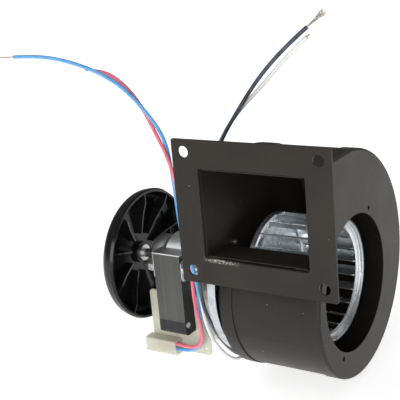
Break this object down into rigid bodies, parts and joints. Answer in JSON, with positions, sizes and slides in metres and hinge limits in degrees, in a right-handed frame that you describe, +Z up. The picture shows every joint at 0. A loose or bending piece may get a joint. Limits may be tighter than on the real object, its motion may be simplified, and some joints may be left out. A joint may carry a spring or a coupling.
{
  "type": "combustion fan",
  "caption": "Scroll blower with a flanged rectangular outlet, a squirrel-cage wheel and an open shaded-pole motor with its own cooling fan and loose leads.",
  "frame": {"origin": "centre of the four holes of the outlet flange, on the flange front face", "axes": "-Y is the way the air leaves the outlet, +X runs along the shaft towards the inlet, +Z is up"},
  "size_m": [0.3205, 0.1676, 0.2994],
  "materials": {
    "aluminium": "cast aluminium",
    "black_cover": "black lead insulation",
    "blue_cover": "blue lead insulation",
    "brass": "turned brass",
    "bronze": "oiled sintered bronze",
    "copper": "bare copper",
    "dark_lamination": "stacked laminations under dark varnish",
    "dark_steel": "black oxide steel",
    "fan_plastic": "glossy black moulded plastic",
    "felt": "oil-soaked felt",
    "galvanised": "galvanised sheet with spangle",
    "housing_paint": "satin dark brown-grey baked paint, faint orange peel",
    "lamination": "stacked laminations, dull varnished edges",
    "nylon": "milky translucent nylon",
    "red_cover": "red lead insulation",
    "shaft_steel": "ground steel",
    "tape": "glossy coil tape",
    "tinned_wire": "tinned copper strands",
    "wheel_zinc": "galvanised wheel strip",
    "white_cover": "white lead insulation",
    "winding": "enamelled copper turns",
    "zinc_plate": "bright zinc plate"
  },
  "bodies": {
    "housing": {"black_lead": "black_cover", "black_wire_end": "tinned_wire", "blue_lead": "blue_cover", "blue_wire_end": "tinned_wire", "cap_nuts": "zinc_plate", "coil_bobbin": "nylon", "coil_tape": "tape", "coil_winding": "winding", "coil_yoke": "dark_lamination", "cutoff_plate": "housing_paint", "front_bearing": "bronze", "front_bearing_bracket": "zinc_plate", "front_oil_felt": "felt", "inlet_side_plate": "housing_paint", "lead_crimps": "brass", "motor_mount_pan": "galvanised", "motor_side_plate": "housing_paint", "motor_spacers": "zinc_plate", "mount_pan_screws": "zinc_plate", "outlet_flange": "housing_paint", "pan_nuts": "zinc_plate", "rear_bearing": "bronze", "rear_bearing_bracket": "zinc_plate", "rear_oil_felt": "felt", "red_lead": "red_cover", "red_wire_end": "tinned_wire", "scroll_wrapper": "housing_paint", "shading_rings": "copper", "stator_stack": "lamination", "terminal_cover": "nylon", "through_bolts": "zinc_plate", "white_lead": "white_cover", "white_wire_end": "tinned_wire", "yoke_rivets": "zinc_plate"},
    "rotor": {"motor_shaft": "shaft_steel", "rotor_core": "lamination", "rotor_end_rings": "aluminium", "thrust_washers": "nylon", "wheel_outer_ring": "wheel_zinc", "wheel_inner_ring": "wheel_zinc", "wheel_blades": "wheel_zinc", "wheel_back_plate": "wheel_zinc", "wheel_hub": "zinc_plate", "wheel_set_screw": "dark_steel", "cooling_fan": "fan_plastic", "cooling_fan_hub": "zinc_plate"}
  },
  "joints": [
    {"name": "shaft_spin", "type": "hinge", "parent": "housing", "child": "rotor", "pos_m": [0, 0.0761, -0.0709], "axis": [1, 0, 0], "continuous": true}
  ]
}
